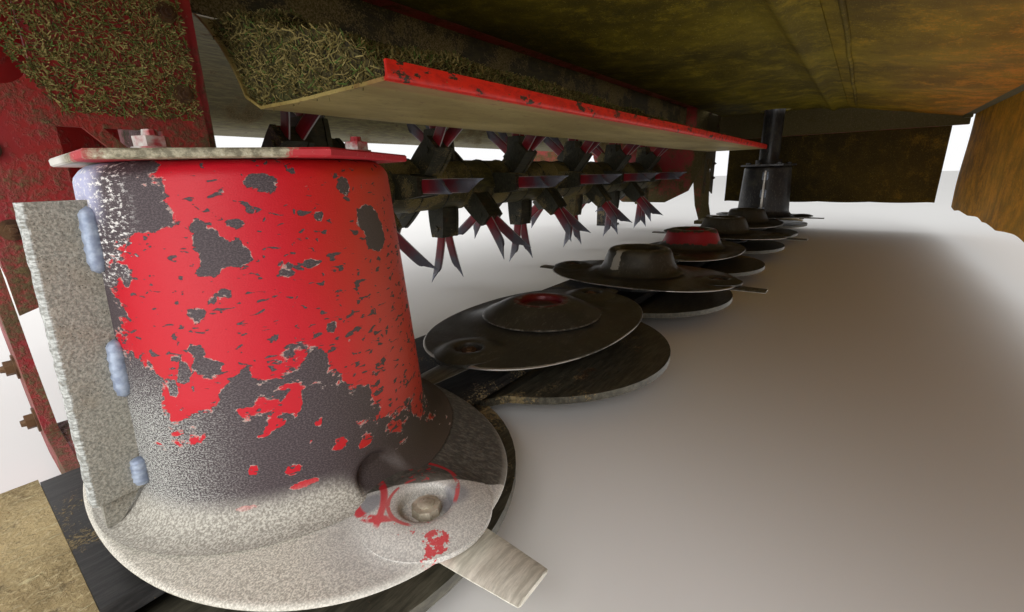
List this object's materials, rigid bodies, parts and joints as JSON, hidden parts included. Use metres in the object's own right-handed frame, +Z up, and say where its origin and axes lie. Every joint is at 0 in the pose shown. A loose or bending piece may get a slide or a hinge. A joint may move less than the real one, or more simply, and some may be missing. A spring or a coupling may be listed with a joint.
{
  "type": "disc mower conditioner header",
  "caption": "Mowing header with oval knife discs, crop lifting drums, a steel tine conditioner rotor under a shelf and hood, cloth guards, hitch lugs and folding stands.",
  "frame": {"origin": "on the ground below the middle of the header's box", "axes": "+X to the machine's right along the cutterbar, +Y forward into the crop, +Z up"},
  "size_m": [3.11, 2.158, 0.932],
  "materials": {
    "bar_steel": "scratched, soiled",
    "worn_steel": "worn",
    "red_paint": "gloss, chipped",
    "dull_red_paint": "weathered",
    "black_paint": "satin, worn at the rims",
    "knife_steel": "worn",
    "tarpaulin": "coated cloth, grimy",
    "rotor_paint": "grimy",
    "tine_paint": "worn to steel at the tips",
    "sheet_steel": "scratched",
    "muddy_steel": "caked with dry mud",
    "gearbox_iron": "oily"
  },
  "bodies": {
    "header": {"cutterbar": "bar_steel", "skid_plates": "worn_steel", "disc_hubs": "bar_steel", "end_frame_right": "dull_red_paint", "end_frame_left": "dull_red_paint", "end_shoe_right": "muddy_steel", "end_shoe_left": "muddy_steel", "side_plate_right": "dull_red_paint", "side_plate_left": "dull_red_paint", "shelf_hood": "sheet_steel", "main_beam": "dull_red_paint", "side_rails": "dull_red_paint", "roof_frame": "dull_red_paint", "roof_cover": "tarpaulin", "rotor_bearings": "gearbox_iron", "belt_guard": "red_paint", "end_panel_right": "dull_red_paint", "end_panel_left": "dull_red_paint", "rear_wall": "dull_red_paint", "gearbox_left": "gearbox_iron", "gearbox_centre": "gearbox_iron", "hitch_lugs": "dull_red_paint", "stand_brackets": "dull_red_paint", "board_hinges": "dull_red_paint"},
    "disc_1_set": {"disc_1": "worn_steel", "knives_1": "knife_steel", "drum_right": "red_paint", "drum_head_right": "red_paint"},
    "disc_2_set": {"disc_2": "black_paint", "knives_2": "knife_steel", "cap_2": "black_paint"},
    "disc_3_set": {"disc_3": "black_paint", "knives_3": "knife_steel", "cap_3": "black_paint"},
    "disc_4_set": {"disc_4": "black_paint", "knives_4": "knife_steel", "cap_4": "black_paint"},
    "disc_5_set": {"disc_5": "black_paint", "knives_5": "knife_steel", "cap_5": "black_paint"},
    "disc_6_set": {"disc_6": "black_paint", "knives_6": "knife_steel", "cap_6": "black_paint"},
    "disc_7_set": {"disc_7": "black_paint", "knives_7": "knife_steel", "drum_left": "black_paint", "drum_head_left": "black_paint"},
    "rotor": {"rotor_tube": "rotor_paint", "rotor_tines": "tine_paint"},
    "input": {"input_shaft": "worn_steel"},
    "front_guard": {"front_guard_frame": "dull_red_paint", "front_guard_top": "tarpaulin", "front_curtain": "tarpaulin"},
    "side_guard_right": {"side_guard_bar_right": "dull_red_paint", "side_curtain_right": "tarpaulin"},
    "stand_right": {"stand_right": "bar_steel"},
    "swath_board_right": {"swath_board_right": "dull_red_paint"},
    "side_guard_left": {"side_guard_bar_left": "dull_red_paint", "side_curtain_left": "tarpaulin"},
    "stand_left": {"stand_left": "bar_steel"},
    "swath_board_left": {"swath_board_left": "dull_red_paint"}
  },
  "joints": [
    {"name": "disc_1_spin", "type": "hinge", "parent": "header", "child": "disc_1_set", "pos_m": [1.29, 0.315, 0.081], "axis": [0, 0, 1], "continuous": true},
    {"name": "disc_2_spin", "type": "hinge", "parent": "header", "child": "disc_2_set", "pos_m": [0.86, 0.315, 0.081], "axis": [0, 0, 1], "continuous": true},
    {"name": "disc_3_spin", "type": "hinge", "parent": "header", "child": "disc_3_set", "pos_m": [0.43, 0.315, 0.081], "axis": [0, 0, 1], "continuous": true},
    {"name": "disc_4_spin", "type": "hinge", "parent": "header", "child": "disc_4_set", "pos_m": [0, 0.315, 0.081], "axis": [0, 0, 1], "continuous": true},
    {"name": "disc_5_spin", "type": "hinge", "parent": "header", "child": "disc_5_set", "pos_m": [-0.43, 0.315, 0.081], "axis": [0, 0, 1], "continuous": true},
    {"name": "disc_6_spin", "type": "hinge", "parent": "header", "child": "disc_6_set", "pos_m": [-0.86, 0.315, 0.081], "axis": [0, 0, 1], "continuous": true},
    {"name": "disc_7_spin", "type": "hinge", "parent": "header", "child": "disc_7_set", "pos_m": [-1.29, 0.315, 0.081], "axis": [0, 0, 1], "continuous": true},
    {"name": "rotor_spin", "type": "hinge", "parent": "header", "child": "rotor", "pos_m": [0, -0.27, 0.302], "axis": [1, 0, 0], "continuous": true},
    {"name": "input_spin", "type": "hinge", "parent": "header", "child": "input", "pos_m": [0, -0.157, 0.848], "axis": [0, 1, 0], "continuous": true},
    {"name": "front_guard_lift", "type": "hinge", "parent": "header", "child": "front_guard", "pos_m": [0, 0.555, 0.632], "axis": [1, 0, 0], "range_deg": [0, 100]},
    {"name": "side_guard_right_fold", "type": "hinge", "parent": "header", "child": "side_guard_right", "pos_m": [1.538, 0.315, 0.51], "axis": [0, 1, 0], "range_deg": [0, 187]},
    {"name": "stand_right_fold", "type": "hinge", "parent": "header", "child": "stand_right", "pos_m": [1.241, -0.6, 0.455], "axis": [1, 0, 0], "range_deg": [-95, 0]},
    {"name": "swath_board_right_swing", "type": "hinge", "parent": "header", "child": "swath_board_right", "pos_m": [1.18, -0.6904, 0.46], "axis": [0, 0, 1], "range_deg": [-20, 10]},
    {"name": "side_guard_left_fold", "type": "hinge", "parent": "header", "child": "side_guard_left", "pos_m": [-1.538, 0.315, 0.51], "axis": [0, 1, 0], "range_deg": [0, 187]},
    {"name": "stand_left_fold", "type": "hinge", "parent": "header", "child": "stand_left", "pos_m": [-1.241, -0.6, 0.455], "axis": [1, 0, 0], "range_deg": [-95, 0]},
    {"name": "swath_board_left_swing", "type": "hinge", "parent": "header", "child": "swath_board_left", "pos_m": [-1.18, -0.6904, 0.46], "axis": [0, 0, 1], "range_deg": [-10, 20]}
  ],
  "couplings": [
    {"joint": "disc_2_spin", "follows": "disc_1_spin", "ratio": -1},
    {"joint": "disc_3_spin", "follows": "disc_1_spin", "ratio": 1},
    {"joint": "disc_4_spin", "follows": "disc_1_spin", "ratio": -1},
    {"joint": "disc_5_spin", "follows": "disc_1_spin", "ratio": 1},
    {"joint": "disc_6_spin", "follows": "disc_1_spin", "ratio": -1},
    {"joint": "disc_7_spin", "follows": "disc_1_spin", "ratio": 1},
    {"joint": "rotor_spin", "follows": "disc_1_spin", "ratio": 0.32},
    {"joint": "input_spin", "follows": "disc_1_spin", "ratio": 0.33}
  ]
}
